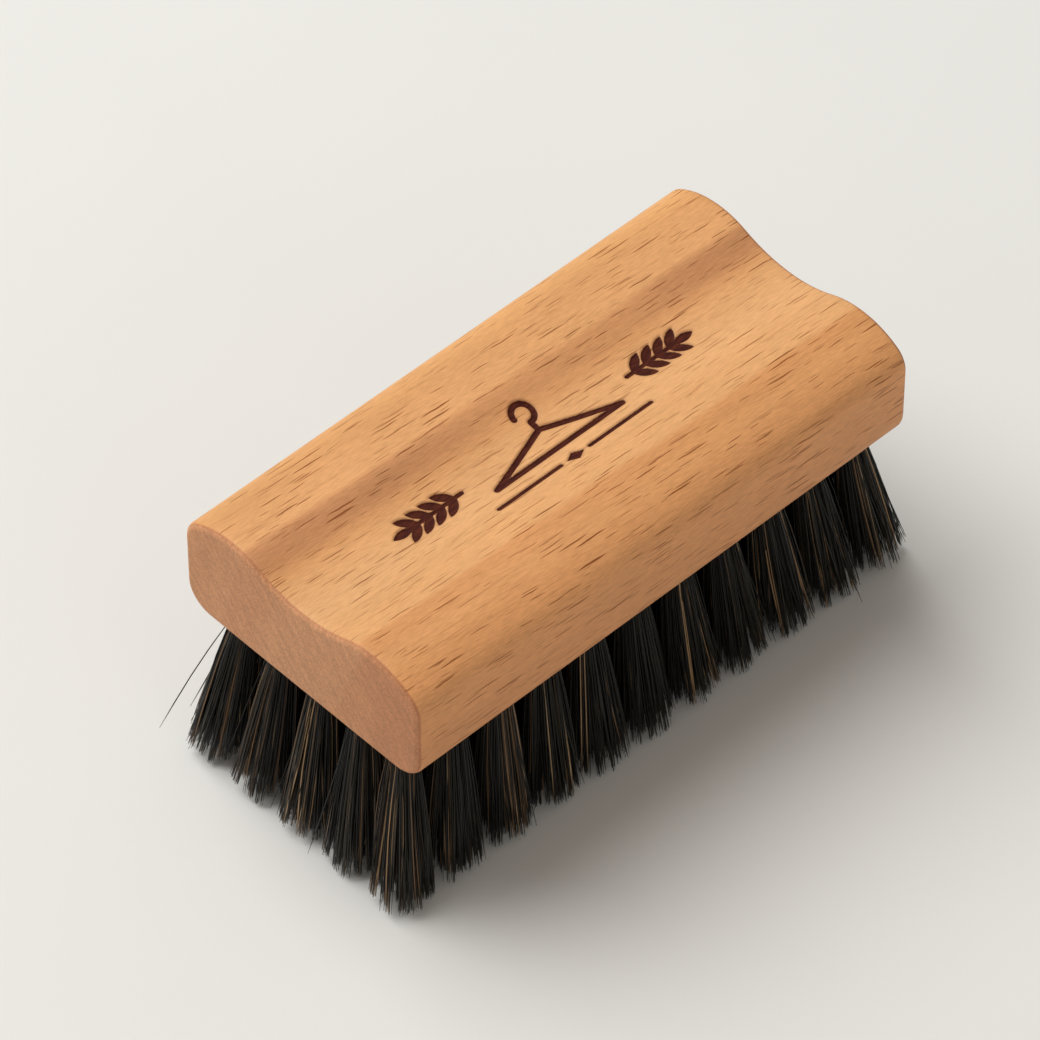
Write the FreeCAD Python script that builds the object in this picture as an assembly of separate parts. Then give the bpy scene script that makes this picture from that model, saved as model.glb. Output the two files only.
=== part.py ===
"""Clothes brush: a beech block with two finger ridges, filled with folded hair tufts.

Units are millimetres.  X runs along the brush, Y across it and Z up.  The origin
is the middle of the plane of the bristle tips, on which the brush stands.
"""
import FreeCAD, Part
import math
import os

from FreeCAD import Vector

# Block
BLOCK_LENGTH = 110.0
BLOCK_WIDTH = 55.0
BLOCK_HEIGHT = 22.6          # underside to the top of a ridge
VALLEY_DEPTH = 3.5           # ridge top to the bottom of the finger valley
CREST_INSET = 11.0           # block side to the line of a ridge top
CREST_RADIUS = 16.0          # roundness of a ridge
TOP_CORNER_RADIUS = 5.0      # where a ridge turns into the side
BOTTOM_CORNER_RADIUS = 5.5   # where the side turns into the underside
END_EDGE_RADIUS = 1.2        # softened edge round both end faces

# Tufts and the holes they are set in
TUFT_COLUMNS = 11
TUFT_ROWS = 5
END_INSET = 5.0              # block end to the first hole centre
SIDE_INSET = 8.9             # block side to the first hole centre
HOLE_DIAMETER = 4.5
HOLE_DEPTH = 12.0            # straight part of the hole
DRILL_POINT_ANGLE = 118.0    # degrees, of the cone that ends a drilled hole
TUFT_CLEARANCE = 0.02        # between a tuft and the wall of its hole
BRISTLE_LENGTH = 32.5        # underside of the block to the tips
FAN_X = 0.8                  # how much further apart the tips are than the roots, along X
FAN_Y = 1.8                  # the same across, along Y
TIP_GAP = 0.4                # between the tips of two neighbouring tufts

# Flat wire anchors, driven across each hole through the fold of its tuft
ANCHOR_THICKNESS = 0.45
ANCHOR_HEIGHT = 1.8
ANCHOR_BITE = 0.5            # how far each end cuts into the wall of the hole
ANCHOR_COVER = 1.0           # hair between the anchor and the bottom of the hole
ANCHOR_CLEARANCE = 0.02      # between an anchor and the fold round it

# Mark engraved in the valley: a coat hanger between two sprigs, over a ruled line
MARK_DEPTH = 0.35
MARK_STROKE = 1.1
HANGER_HALF_SPAN = 14.0
HANGER_BAR_Y = -2.4
HANGER_NECK_Y = 2.6
HANGER_HOOK_RADIUS = 1.9
SPRIG_START = 18.5
SPRIG_LENGTH = 15.0
SPRIG_Y = 1.2
LEAF_PAIRS = 4
LEAF_LENGTH = 4.4
LEAF_WIDTH = 1.7
LEAF_ANGLE = 38.0            # degrees from the stem
RULE_Y = -6.0
RULE_START = 3.2
RULE_END = 17.0
RULE_WIDTH = 0.8
DIAMOND_HALF_LENGTH = 1.9
DIAMOND_HALF_WIDTH = 1.1

# Values that follow from the sizes above
UNDERSIDE_Z = BRISTLE_LENGTH
VALLEY_Z = UNDERSIDE_Z + BLOCK_HEIGHT - VALLEY_DEPTH
CREST_Z = UNDERSIDE_Z + BLOCK_HEIGHT
CREST_Y = BLOCK_WIDTH / 2 - CREST_INSET
HOLE_RADIUS = HOLE_DIAMETER / 2
ROOT_PITCH_X = (BLOCK_LENGTH - 2 * END_INSET) / (TUFT_COLUMNS - 1)
ROOT_PITCH_Y = (BLOCK_WIDTH - 2 * SIDE_INSET) / (TUFT_ROWS - 1)
TIP_PITCH_X = ROOT_PITCH_X + FAN_X
TIP_PITCH_Y = ROOT_PITCH_Y + FAN_Y
TIP_RADIUS = (min(TIP_PITCH_X, TIP_PITCH_Y) - TIP_GAP) / 2
ANCHOR_LENGTH = HOLE_DIAMETER + 2 * ANCHOR_BITE
ANCHOR_Z = UNDERSIDE_Z + HOLE_DEPTH - ANCHOR_COVER - ANCHOR_HEIGHT / 2


def arc_point(centre, radius, angle):
    """Point (y, z) on a circle, with the angle measured from +Z towards +Y."""
    return (centre[0] + radius * math.sin(angle), centre[1] + radius * math.cos(angle))


def half_outline_arcs():
    """The rounded stretches of the +Y half of the section, from valley to underside.

    Each is (start, middle, end).  The valley and the ridge are two arcs that share
    a tangent, so the angle at which they meet follows from their depth and spacing.
    """
    meet = 2 * math.atan(VALLEY_DEPTH / CREST_Y)
    valley_radius = CREST_Y / math.sin(meet) - CREST_RADIUS
    valley_centre = (0.0, VALLEY_Z + valley_radius)
    crest_centre = (CREST_Y, CREST_Z - CREST_RADIUS)

    corner_y = BLOCK_WIDTH / 2 - TOP_CORNER_RADIUS
    reach = CREST_RADIUS - TOP_CORNER_RADIUS
    rise = math.sqrt(reach ** 2 - (corner_y - CREST_Y) ** 2)
    corner_centre = (corner_y, crest_centre[1] + rise)
    corner_start = math.atan2(corner_y - CREST_Y, rise)

    bottom_centre = (BLOCK_WIDTH / 2 - BOTTOM_CORNER_RADIUS, UNDERSIDE_Z + BOTTOM_CORNER_RADIUS)
    quarter = math.pi / 2
    spans = [
        (valley_centre, valley_radius, math.pi, math.pi - meet),
        (crest_centre, CREST_RADIUS, -meet, corner_start),
        (corner_centre, TOP_CORNER_RADIUS, corner_start, quarter),
        (bottom_centre, BOTTOM_CORNER_RADIUS, quarter, 2 * quarter),
    ]
    return [
        tuple(arc_point(centre, radius, angle) for angle in (first, (first + last) / 2, last))
        for centre, radius, first, last in spans
    ]


def section_face(x):
    """The block's section as a face in the plane at x."""
    right = half_outline_arcs()
    left = [tuple((-y, z) for y, z in reversed(arc)) for arc in reversed(right)]
    arcs = right + left
    edges = []
    for arc, following in zip(arcs, arcs[1:] + arcs[:1]):
        start, middle, end = (Vector(x, y, z) for y, z in arc)
        edges.append(Part.Arc(start, middle, end).toShape())
        next_start = Vector(x, *following[0])
        if end.distanceToPoint(next_start) > 1e-6:
            edges.append(Part.LineSegment(end, next_start).toShape())
    return Part.Face(Part.Wire(Part.__sortEdges__(edges)))


def plain_block():
    """The shaped block before it is drilled or marked."""
    bar = section_face(-BLOCK_LENGTH / 2).extrude(Vector(BLOCK_LENGTH, 0, 0))
    end_edges = [
        edge for edge in bar.Edges
        if abs(abs(edge.CenterOfMass.x) - BLOCK_LENGTH / 2) < 1e-6
    ]
    return bar.makeFillet(END_EDGE_RADIUS, end_edges)


def drilled_form(x, y, gap):
    """The space of one blind hole, smaller all round by gap."""
    radius = HOLE_RADIUS - gap
    depth = HOLE_DEPTH - gap
    point = radius / math.tan(math.radians(DRILL_POINT_ANGLE / 2))
    straight = Part.makeCylinder(radius, depth, Vector(x, y, UNDERSIDE_Z))
    tip = Part.makeCone(radius, 0, point, Vector(x, y, UNDERSIDE_Z + depth))
    return straight.fuse(tip).removeSplitter()


def anchor_bar(x, y, gap):
    """One flat anchor lying across the hole at (x, y), larger all round by gap."""
    size = (ANCHOR_THICKNESS + 2 * gap, ANCHOR_LENGTH, ANCHOR_HEIGHT + 2 * gap)
    corner = Vector(x - size[0] / 2, y - size[1] / 2, ANCHOR_Z - size[2] / 2)
    return Part.makeBox(*size, corner)


def upright_bar(start, end, width):
    """A round-ended engraving stroke between two points, as a tall prism."""
    (x0, y0), (x1, y1) = start, end
    length = math.hypot(x1 - x0, y1 - y0)
    across = Vector(-(y1 - y0), x1 - x0, 0) * (width / 2 / length)
    a, b = Vector(x0, y0, VALLEY_Z - 1), Vector(x1, y1, VALLEY_Z - 1)
    outline = Part.makePolygon([a - across, b - across, b + across, a + across, a - across])
    up = Vector(0, 0, VALLEY_DEPTH + 1)
    ends = [Part.makeCylinder(width / 2, up.z, centre) for centre in (a, b)]
    return Part.Face(outline).extrude(up).multiFuse(ends)


def upright_hook(centre_y):
    """The hanger's hook: three quarters of a ring, open at the lower left."""
    base = Vector(0, centre_y, VALLEY_Z - 1)
    height = VALLEY_DEPTH + 1
    outer = Part.makeCylinder(HANGER_HOOK_RADIUS + MARK_STROKE / 2, height, base, Vector(0, 0, 1), 270)
    inner = Part.makeCylinder(HANGER_HOOK_RADIUS - MARK_STROKE / 2, height, base)
    ring = outer.cut(inner)
    ring.rotate(base, Vector(0, 0, 1), -90)
    tip = Part.makeCylinder(MARK_STROKE / 2, height, base - Vector(HANGER_HOOK_RADIUS, 0, 0))
    return ring.fuse(tip)


def upright_leaf(x, y, angle):
    """A pointed leaf from (x, y), where two equal circles overlap."""
    half = LEAF_LENGTH / 2
    radius = (half ** 2 + (LEAF_WIDTH / 2) ** 2) / LEAF_WIDTH
    offset = radius - LEAF_WIDTH / 2
    base = Vector(x + half, y, VALLEY_Z - 1)
    height = VALLEY_DEPTH + 1
    above = Part.makeCylinder(radius, height, base + Vector(0, offset, 0))
    below = Part.makeCylinder(radius, height, base - Vector(0, offset, 0))
    leaf = above.common(below)
    leaf.rotate(Vector(x, y, 0), Vector(0, 0, 1), angle)
    return leaf


def upright_hanger():
    """The coat hanger: shoulders, bar, neck and hook."""
    neck = (0, HANGER_NECK_Y)
    ends = [(side * HANGER_HALF_SPAN, HANGER_BAR_Y) for side in (-1, 1)]
    hook_centre = HANGER_NECK_Y + 2 * HANGER_HOOK_RADIUS
    strokes = [upright_bar(neck, end, MARK_STROKE) for end in ends]
    strokes.append(upright_bar(ends[0], ends[1], MARK_STROKE))
    strokes.append(upright_bar(neck, (0, hook_centre - HANGER_HOOK_RADIUS), MARK_STROKE))
    strokes.append(upright_hook(hook_centre))
    return strokes


def upright_sprigs():
    """A leafy sprig on each side of the hanger, pointing outwards."""
    pieces = []
    spacing = (SPRIG_LENGTH - LEAF_LENGTH) / LEAF_PAIRS
    for side, turn in ((1, 0), (-1, 180)):
        start, end = side * SPRIG_START, side * (SPRIG_START + SPRIG_LENGTH - LEAF_LENGTH)
        pieces.append(upright_bar((start, SPRIG_Y), (end, SPRIG_Y), RULE_WIDTH))
        pieces.append(upright_leaf(end, SPRIG_Y, turn))
        for index in range(LEAF_PAIRS):
            x = start + side * spacing * (index + 0.5)
            for angle in (LEAF_ANGLE, -LEAF_ANGLE):
                pieces.append(upright_leaf(x, SPRIG_Y, turn + angle))
    return pieces


def upright_rule():
    """The thin line under the hanger, broken by a diamond."""
    pieces = [
        upright_bar((side * RULE_START, RULE_Y), (side * RULE_END, RULE_Y), RULE_WIDTH)
        for side in (-1, 1)
    ]
    corners = [
        (-DIAMOND_HALF_LENGTH, 0), (0, -DIAMOND_HALF_WIDTH),
        (DIAMOND_HALF_LENGTH, 0), (0, DIAMOND_HALF_WIDTH), (-DIAMOND_HALF_LENGTH, 0),
    ]
    outline = Part.makePolygon([Vector(x, RULE_Y + y, VALLEY_Z - 1) for x, y in corners])
    pieces.append(Part.Face(outline).extrude(Vector(0, 0, VALLEY_DEPTH + 1)))
    return pieces


def engraving(block):
    """The wood that the mark removes: its strokes, down to a floor that follows the valley."""
    strokes = upright_hanger() + upright_sprigs() + upright_rule()
    prism = strokes[0].multiFuse(strokes[1:])
    lowered = block.copy()
    lowered.translate(Vector(0, 0, -MARK_DEPTH))
    return prism.cut(lowered)


def hole_positions():
    """Node name suffix, grid step from the middle and hole centre, for every tuft."""
    for row in range(TUFT_ROWS):
        for column in range(TUFT_COLUMNS):
            step_x = column - (TUFT_COLUMNS - 1) / 2
            step_y = row - (TUFT_ROWS - 1) / 2
            yield f"r{row + 1}_c{column + 1:02d}", step_x, step_y


def handle_block():
    """The finished block: shaped, marked, drilled, with the pockets that the anchors cut."""
    shaped = plain_block()
    removed = [engraving(shaped)]
    for _, step_x, step_y in hole_positions():
        x, y = step_x * ROOT_PITCH_X, step_y * ROOT_PITCH_Y
        removed.append(drilled_form(x, y, 0))
        removed.append(anchor_bar(x, y, 0))
    return shaped.cut(removed)


def tuft(step_x, step_y):
    """One tuft: the folded root in its hole and the hair fanning out to the tips."""
    x, y = step_x * ROOT_PITCH_X, step_y * ROOT_PITCH_Y
    root = drilled_form(x, y, TUFT_CLEARANCE)
    circles = [
        Part.makeCircle(HOLE_RADIUS - TUFT_CLEARANCE, Vector(x, y, UNDERSIDE_Z)),
        Part.makeCircle(TIP_RADIUS, Vector(step_x * TIP_PITCH_X, step_y * TIP_PITCH_Y, 0)),
    ]
    fan = Part.makeLoft([Part.Wire(circle) for circle in circles], True, True)
    return root.fuse(fan).cut(anchor_bar(x, y, ANCHOR_CLEARANCE))


def anchors():
    """All the anchors, one in each hole."""
    return Part.makeCompound([
        anchor_bar(step_x * ROOT_PITCH_X, step_y * ROOT_PITCH_Y, 0)
        for _, step_x, step_y in hole_positions()
    ])


def build():
    """Every node of the brush by name."""
    nodes = {"handle_block": handle_block(), "tuft_anchors": anchors()}
    for name, step_x, step_y in hole_positions():
        nodes[f"tuft_{name}"] = tuft(step_x, step_y)
    return nodes


os.makedirs("parts", exist_ok=True)
for node, shape in build().items():
    shape.exportStep(f"parts/{node}.step")
    print(node, shape.isValid(), len(shape.Solids), round(shape.Volume, 2))
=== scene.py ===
"""The looks of a clothes brush: a marked beech block and its tufts of fanned, folded hair.

Every length is in metres unless its name ends in _mm.  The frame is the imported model's:
X runs along the brush, Y across it, Z up from the plane of the bristle tips.
"""

import logging
import math
from dataclasses import dataclass, field
from enum import Enum
from typing import Any, Iterable, Sequence

import bmesh
import bpy
import numpy as np
from mathutils import Matrix, Vector
from mathutils.geometry import delaunay_2d_cdt


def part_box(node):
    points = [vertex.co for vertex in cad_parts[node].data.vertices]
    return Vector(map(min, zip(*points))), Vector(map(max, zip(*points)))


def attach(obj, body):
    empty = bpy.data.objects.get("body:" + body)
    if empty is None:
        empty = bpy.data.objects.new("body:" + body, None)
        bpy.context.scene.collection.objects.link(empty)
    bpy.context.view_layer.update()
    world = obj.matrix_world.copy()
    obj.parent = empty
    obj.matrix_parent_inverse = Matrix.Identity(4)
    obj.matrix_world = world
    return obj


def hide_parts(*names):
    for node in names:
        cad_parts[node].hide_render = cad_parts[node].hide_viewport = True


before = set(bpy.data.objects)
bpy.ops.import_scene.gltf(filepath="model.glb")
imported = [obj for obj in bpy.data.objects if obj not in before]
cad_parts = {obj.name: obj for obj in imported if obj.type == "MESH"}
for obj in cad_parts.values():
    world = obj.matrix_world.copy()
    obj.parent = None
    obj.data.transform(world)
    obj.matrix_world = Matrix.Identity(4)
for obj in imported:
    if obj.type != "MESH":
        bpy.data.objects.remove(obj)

MM = 0.001
BODY = "root"
BAKE_MAP = "OFBake"
GOLDEN_SHARE = 3 - math.sqrt(5)    # share of half a turn from one seed of a sunflower to the next
CDT_INSIDE, CDT_CLOSE = 1, 1e-9    # keep the triangles inside the border; how close points coincide
log = logging.getLogger("clothes_brush")

Triple = tuple[float, float, float]
Colour = Triple
Span = tuple[float, float, float, float]    # a value's low and high, and the results there
Socket = bpy.types.NodeSocket


class Slot(Enum):
    """The material slots of the record."""

    BEECH = "beech"
    HORSEHAIR = "horsehair"
    ANCHOR_WIRE = "anchor_wire"


# ---------------------------------------------------------------- mesh helpers


def new_piece(name: str, verts: np.ndarray, faces: Sequence[Sequence[int]]) -> bpy.types.Object:
    """Make an object at the origin from points and faces.

    Args:
        name: the piece's name.
        verts: (n, 3) points in metres.
        faces: corner indices of each face.

    Returns:
        The new object, linked to the scene, shaded smooth.
    """
    mesh = bpy.data.meshes.new(name)
    mesh.from_pydata(verts.tolist(), [], [list(face) for face in faces])
    mesh.polygons.foreach_set("use_smooth", np.ones(len(mesh.polygons), bool))
    mesh.update()
    piece = bpy.data.objects.new(name, mesh)
    bpy.context.scene.collection.objects.link(piece)
    return piece


def set_point_values(piece: bpy.types.Object, name: str, values: np.ndarray) -> None:
    """Store one number for each of a piece's points under a name."""
    attribute = piece.data.attributes.new(name, "FLOAT", "POINT")
    attribute.data.foreach_set("value", values.astype(np.float32))


def weld(piece: bpy.types.Object, reach: float) -> None:
    """Join a piece's points that lie close together.

    Args:
        piece: the piece, changed in place.
        reach: the furthest apart that two points are joined.
    """
    shape = bmesh.new()
    shape.from_mesh(piece.data)
    bmesh.ops.remove_doubles(shape, verts=shape.verts, dist=reach)
    shape.to_mesh(piece.data)
    shape.free()
    piece.data.update()


def grid_faces(rows: int, columns: int, closed: bool = False) -> np.ndarray:
    """Quads of a grid of points numbered row by row.

    Args:
        rows: how many rows of points.
        columns: how many points in a row.
        closed: whether the last column joins the first.

    Returns:
        (n, 4) corner indices.
    """
    across = columns if closed else columns - 1
    row = np.arange(rows - 1)[:, None] * columns
    here = np.arange(across)[None, :]
    after = (here + 1) % columns
    quads = np.stack([row + here, row + after, row + columns + after, row + columns + here], -1)
    return quads.reshape(-1, 4)


def smoothstep(low: float, high: float, value: np.ndarray) -> np.ndarray:
    """Rise from 0 at low to 1 at high, level at both ends."""
    t = np.clip((value - low) / (high - low), 0.0, 1.0)
    return t * t * (3.0 - 2.0 * t)


def gaps(first: np.ndarray, second: np.ndarray) -> np.ndarray:
    """The (n, m) distances in plan from each of n places to each of m others."""
    return np.hypot(*(first[:, None, :] - second[None, :, :]).transpose(2, 0, 1))


def sunflower(count: int, reach: float, turn: float) -> np.ndarray:
    """Places spread evenly over a disc, as a sunflower's seeds are.

    Args:
        count: how many places.
        reach: the disc's radius.
        turn: angle that the whole pattern is turned by.

    Returns:
        (count, 2) places about the disc's middle.
    """
    index = np.arange(count) + 0.5
    angle = index * math.pi * GOLDEN_SHARE + turn
    return reach * np.sqrt(index / count)[:, None] * np.column_stack([np.cos(angle), np.sin(angle)])


# ---------------------------------------------------------------- node helpers


@dataclass
class Graph:
    """Adds and wires nodes in one node tree."""

    tree: bpy.types.NodeTree

    def add(self, kind: str, inputs: dict[Any, Any] | None = None, **settings: Any) -> bpy.types.Node:
        """Add a node.

        Args:
            kind: the node's type name.
            inputs: values or sockets for its inputs, by name or number.
            settings: properties to set on it.

        Returns:
            The new node.
        """
        node = self.tree.nodes.new(kind)
        for key, value in settings.items():
            setattr(node, key, value)
        for key, value in (inputs or {}).items():
            self.feed(node.inputs[key], value)
        return node

    def feed(self, target: Socket, value: Any) -> None:
        """Link or set an input.

        Args:
            target: the input.
            value: a socket to link, or a plain value; a colour is given without its alpha.
        """
        if isinstance(value, bpy.types.NodeSocket):
            self.tree.links.new(value, target)
        elif isinstance(value, tuple) and len(value) == 3 and target.type == "RGBA":
            target.default_value = (*value, 1.0)
        else:
            target.default_value = value

    def place(self) -> Socket:
        """The piece's own coordinates."""
        return self.add("ShaderNodeTexCoord").outputs["Object"]

    def carried(self, name: str) -> Socket:
        """The numbers that the mesh carries under a name."""
        return self.add("ShaderNodeAttribute", attribute_name=name).outputs["Fac"]

    def parts(self, vector: Any) -> Sequence[Socket]:
        """The three parts of a vector."""
        return self.add("ShaderNodeSeparateXYZ", {0: vector}).outputs

    def maths(self, operation: str, *values: Any, clamp: bool = False) -> Socket:
        """One Math node's result."""
        node = self.add("ShaderNodeMath", dict(enumerate(values)), operation=operation, use_clamp=clamp)
        return node.outputs[0]

    def times(self, first: Any, *others: Any) -> Socket:
        """The product of everything given, taken in order.

        Args:
            first: a number or a socket.
            others: more of them.

        Returns:
            Their product.
        """
        for other in others:
            first = self.maths("MULTIPLY", first, other)
        return first

    def minus(self, first: Any, second: Any) -> Socket:
        """First less second."""
        return self.maths("SUBTRACT", first, second)

    def apart(self, value: Any, middle: Any) -> Socket:
        """How far value is from middle, either way."""
        return self.maths("ABSOLUTE", self.minus(value, middle))

    def swayed(self, base: Any, noise: Any, sway: Any) -> Socket:
        """Base moved either way by up to half of sway, as a noise about 0.5 says."""
        return self.maths("MULTIPLY_ADD", self.minus(noise, 0.5), sway, base)

    def span(self, value: Any, low: Any, high: Any, start: Any = 0.0, end: Any = 1.0) -> Socket:
        """Value eased from the range low..high to start..end, and held beyond it."""
        inputs = {0: value, 1: low, 2: high, 3: start, 4: end}
        return self.add("ShaderNodeMapRange", inputs, interpolation_type="SMOOTHSTEP").outputs[0]

    def mix(self, factor: Any, first: Any, second: Any, blend: str = "MIX") -> Socket:
        """A colour mixed from first to second by factor."""
        inputs = {0: factor, 6: first, 7: second}
        return self.add("ShaderNodeMix", inputs, data_type="RGBA", blend_type=blend).outputs[2]

    def tinted(self, factor: Any, colour: Any, tint: Any) -> Socket:
        """Colour turned by factor towards itself multiplied by tint."""
        return self.mix(factor, colour, self.mix(1.0, colour, tint, "MULTIPLY"))

    def shaded(self, colour: Any, factor: Any) -> Socket:
        """Colour made lighter or darker by a factor."""
        return self.add("ShaderNodeVectorMath", {0: colour, "Scale": factor}, operation="SCALE").outputs[0]

    def ramp(self, factor: Any, stops: Iterable[tuple[float, Colour]]) -> Socket:
        """A colour read off a row of stops.

        Args:
            factor: where to read, from 0 to 1.
            stops: (place, colour) in rising order.

        Returns:
            The colour there.
        """
        node = self.add("ShaderNodeValToRGB", {0: factor})
        elements = node.color_ramp.elements
        for index, (place, colour) in enumerate(stops):
            element = elements[index] if index < 2 else elements.new(place)
            element.position = place
            element.color = (*colour, 1.0)
        return node.outputs["Color"]

    def scaled(self, vector: Any, scale: Any) -> Socket:
        """Vector multiplied axis by axis."""
        return self.add("ShaderNodeMapping", {"Vector": vector, "Scale": scale}).outputs[0]

    def turned(self, vector: Any, angle: float, axis: str = "Z") -> Socket:
        """Vector turned about an axis."""
        turn = tuple(angle if name == axis else 0.0 for name in "XYZ")
        return self.add("ShaderNodeMapping", {"Vector": vector, "Rotation": turn}).outputs[0]

    def noise(self, vector: Any, scale: Any = 1.0, detail: float = 2.0) -> Socket:
        """Noise from 0 to 1 about 0.5."""
        inputs = {"Vector": vector, "Scale": scale, "Detail": detail}
        return self.add("ShaderNodeTexNoise", inputs).outputs[0]

    def streaks(self, vector: Any, scale: Any, detail: float = 2.0) -> Socket:
        """Noise with a scale of its own along each axis."""
        return self.noise(self.scaled(vector, scale), detail=detail)

    def squeezed(self, vector: Any, along: Socket, across: Socket, up: Any) -> Socket:
        """Vector with its first part divided by along, its second by across and its third by up.

        Args:
            vector: coordinates in metres.
            along: a length.
            across: another.
            up: another, or 1 to leave that part as it is.

        Returns:
            Coordinates for a pattern whose cells are 1 wide.
        """
        sizes = [self.maths("DIVIDE", 1.0, size) for size in (along, across, up)]
        scale = self.add("ShaderNodeCombineXYZ", dict(enumerate(sizes))).outputs[0]
        return self.scaled(vector, scale)

    def bump(self, height: Any, distance: float, strength: float) -> Socket:
        """A normal tilted by the slope of a height."""
        inputs = {"Height": height, "Distance": distance, "Strength": strength}
        return self.add("ShaderNodeBump", inputs).outputs[0]

    def group(self, tree: bpy.types.NodeTree, **inputs: Any) -> Socket:
        """Place a node group.

        Args:
            tree: the group.
            inputs: values or sockets for its inputs, named with _ for spaces.

        Returns:
            Its one result.
        """
        node = self.add("ShaderNodeGroup", node_tree=tree)
        for key, value in inputs.items():
            self.feed(node.inputs[key.replace("_", " ")], value)
        return node.outputs[0]


def new_group(name: str, numbers: Sequence[str], result: str) -> tuple[Graph, Any, Socket]:
    """Start a shader node group that reads a vector and some numbers and gives one number.

    Args:
        name: the group's name.
        numbers: the names of the numbers.
        result: the result's name.

    Returns:
        The graph inside it, its input node's outputs and the input that takes the result.
    """
    tree = bpy.data.node_groups.new(name, "ShaderNodeTree")
    tree.interface.new_socket("Vector", in_out="INPUT", socket_type="NodeSocketVector")
    for key in numbers:
        tree.interface.new_socket(key, in_out="INPUT", socket_type="NodeSocketFloat")
    tree.interface.new_socket(result, in_out="OUTPUT", socket_type="NodeSocketFloat")
    graph = Graph(tree)
    return graph, graph.add("NodeGroupInput").outputs, graph.add("NodeGroupOutput").inputs[0]


def new_material(name: str) -> tuple[bpy.types.Material, Graph, Any]:
    """Start a material.

    Args:
        name: its name.

    Returns:
        The material, its graph and the inputs of its shader, which is wired to the output.
    """
    material = bpy.data.materials.new(name)
    material.use_nodes = True
    material.node_tree.nodes.clear()
    graph = Graph(material.node_tree)
    shader = graph.add("ShaderNodeBsdfPrincipled")
    output = graph.add("ShaderNodeOutputMaterial")
    graph.feed(output.inputs["Surface"], shader.outputs[0])
    return material, graph, shader.inputs


# ---------------------------------------------------------------- shared effects


@dataclass(frozen=True)
class Fibre:
    """How long and how wide fine lines are."""

    length: float
    width: float


@dataclass(frozen=True)
class Patches:
    """How big soft patches are and how much they lighten or darken."""

    size: float
    strength: float


@dataclass(frozen=True)
class Effects:
    """The node groups that more than one finish uses."""

    fibre: bpy.types.NodeTree
    mottle: bpy.types.NodeTree

    @staticmethod
    def build() -> "Effects":
        """Build every shared group once."""
        return Effects(Effects.fibre_group(), Effects.mottle_group())

    @staticmethod
    def fibre_group() -> bpy.types.NodeTree:
        """Make fine lines that run along X, as fibres, strands or drawing marks do.

        Noise is read from coordinates squeezed across the run, so that it stretches along it.

        Returns:
            The group, whose result is about 0.5.
        """
        graph, given, result = new_group("drawn_fibre", ("Length", "Width"), "Lines")
        place = graph.squeezed(given["Vector"], given["Length"], given["Width"], given["Width"])
        graph.feed(result, graph.noise(place, detail=3.0))
        return graph.tree

    @staticmethod
    def mottle_group() -> bpy.types.NodeTree:
        """Make slow, soft light and dark patches.

        Returns:
            The group, whose result is a factor about 1 to multiply a colour by.
        """
        graph, given, result = new_group("soft_mottle", ("Size", "Strength"), "Factor")
        patches = graph.noise(given["Vector"], graph.maths("DIVIDE", 1.0, given["Size"]), 3.0)
        graph.feed(result, graph.swayed(1.0, patches, given["Strength"]))
        return graph.tree

    def lines(self, graph: Graph, vector: Socket, fibre: Fibre) -> Socket:
        """Fine lines along X, about 0.5."""
        return graph.group(self.fibre, Vector=vector, Length=fibre.length, Width=fibre.width)

    def shade(self, graph: Graph, vector: Socket, patches: Patches) -> Socket:
        """Soft patches, as a factor about 1."""
        return graph.group(self.mottle, Vector=vector, Size=patches.size, Strength=patches.strength)


# ---------------------------------------------------------------- finishes


@dataclass(frozen=True)
class FleckSet:
    """One scattering of flecks: cells of a length and width, a reach in them and a strength."""

    length: float
    width: float
    reach: float
    strength: float
    seed: float


@dataclass(frozen=True)
class OnBlock:
    """Where a point of the block is, read in the graph of its material."""

    graph: Graph
    place: Socket      # the block's own coordinates
    centred: Socket    # the same about the middle of the valley
    grain: Socket      # those turned with the grain
    around: Socket     # distance round the section from the middle of the valley
    end: Socket        # 1 on the end faces


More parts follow.
